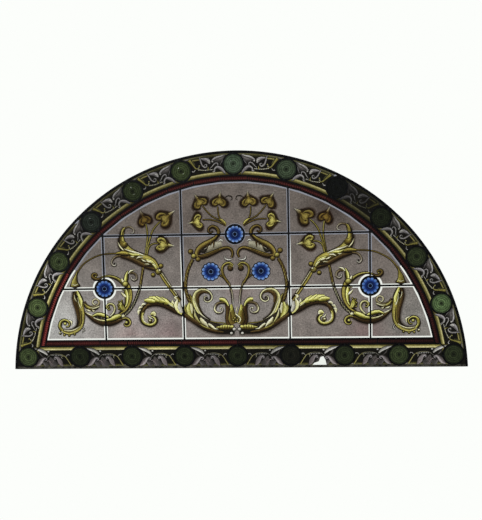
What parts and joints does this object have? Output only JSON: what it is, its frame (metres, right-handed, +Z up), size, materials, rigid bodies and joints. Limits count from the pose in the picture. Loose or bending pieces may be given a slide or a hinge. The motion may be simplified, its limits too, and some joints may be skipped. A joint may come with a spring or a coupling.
{
  "type": "stained glass fanlight window",
  "caption": "Half-round leaded stained glass fanlight: painted scrollwork panes with blue rosettes inside a ruby fillet and a border of green glass roundels.",
  "frame": {"origin": "middle of the sill edge: centre of the straight base line, on its underside and at mid-thickness", "axes": "+X along the base to the right as seen from the room, +Y out of the room through the glass, +Z up; the painted room side faces -Y"},
  "size_m": [2, 0.0062, 0.952],
  "materials": {
    "lead_came": "oxidised lead with dull solder joints",
    "painted_field_glass": "clear glass with a matted grey-brown ground, yellow stain and black line",
    "painted_border_glass": "clear glass painted black, olive yellow and grey-white",
    "green_roundel_glass": "pressed green glass with concentric rings",
    "blue_rosette_glass": "blue glass painted with petals",
    "ruby_glass": "ruby glass with painted black beading"
  },
  "bodies": {
    "root": {"border_corner_left": "painted_border_glass", "border_corner_right": "painted_border_glass", "border_panel_arch_01": "painted_border_glass", "border_panel_arch_02": "painted_border_glass", "border_panel_arch_03": "painted_border_glass", "border_panel_arch_04": "painted_border_glass", "border_panel_arch_05": "painted_border_glass", "border_panel_arch_06": "painted_border_glass", "border_panel_arch_07": "painted_border_glass", "border_panel_arch_08": "painted_border_glass", "border_panel_arch_09": "painted_border_glass", "border_panel_arch_10": "painted_border_glass", "border_panel_arch_11": "painted_border_glass", "border_panel_arch_12": "painted_border_glass", "border_panel_base_01": "painted_border_glass", "border_panel_base_02": "painted_border_glass", "border_panel_base_03": "painted_border_glass", "border_panel_base_04": "painted_border_glass", "border_panel_base_05": "painted_border_glass", "border_panel_base_06": "painted_border_glass", "border_panel_base_07": "painted_border_glass", "border_panel_base_08": "painted_border_glass", "lead_came_net": "lead_came", "pane_bottom_centre": "painted_field_glass", "pane_bottom_far_left": "painted_field_glass", "pane_bottom_far_right": "painted_field_glass", "pane_bottom_left": "painted_field_glass", "pane_bottom_right": "painted_field_glass", "pane_middle_centre": "painted_field_glass", "pane_middle_far_left": "painted_field_glass", "pane_middle_far_right": "painted_field_glass", "pane_middle_left": "painted_field_glass", "pane_middle_right": "painted_field_glass", "pane_top_centre": "painted_field_glass", "pane_top_left": "painted_field_glass", "pane_top_right": "painted_field_glass", "rosette_left": "blue_rosette_glass", "rosette_right": "blue_rosette_glass", "rosette_top": "blue_rosette_glass", "roundel_arch_01": "green_roundel_glass", "roundel_arch_02": "green_roundel_glass", "roundel_arch_03": "green_roundel_glass", "roundel_arch_04": "green_roundel_glass", "roundel_arch_05": "green_roundel_glass", "roundel_arch_06": "green_roundel_glass", "roundel_arch_07": "green_roundel_glass", "roundel_arch_08": "green_roundel_glass", "roundel_arch_09": "green_roundel_glass", "roundel_arch_10": "green_roundel_glass", "roundel_arch_11": "green_roundel_glass", "roundel_arch_12": "green_roundel_glass", "roundel_arch_13": "green_roundel_glass", "roundel_base_01": "green_roundel_glass", "roundel_base_02": "green_roundel_glass", "roundel_base_03": "green_roundel_glass", "roundel_base_04": "green_roundel_glass", "roundel_base_05": "green_roundel_glass", "roundel_base_06": "green_roundel_glass", "roundel_base_07": "green_roundel_glass", "ruby_fillet": "ruby_glass"}
  },
  "joints": []
}
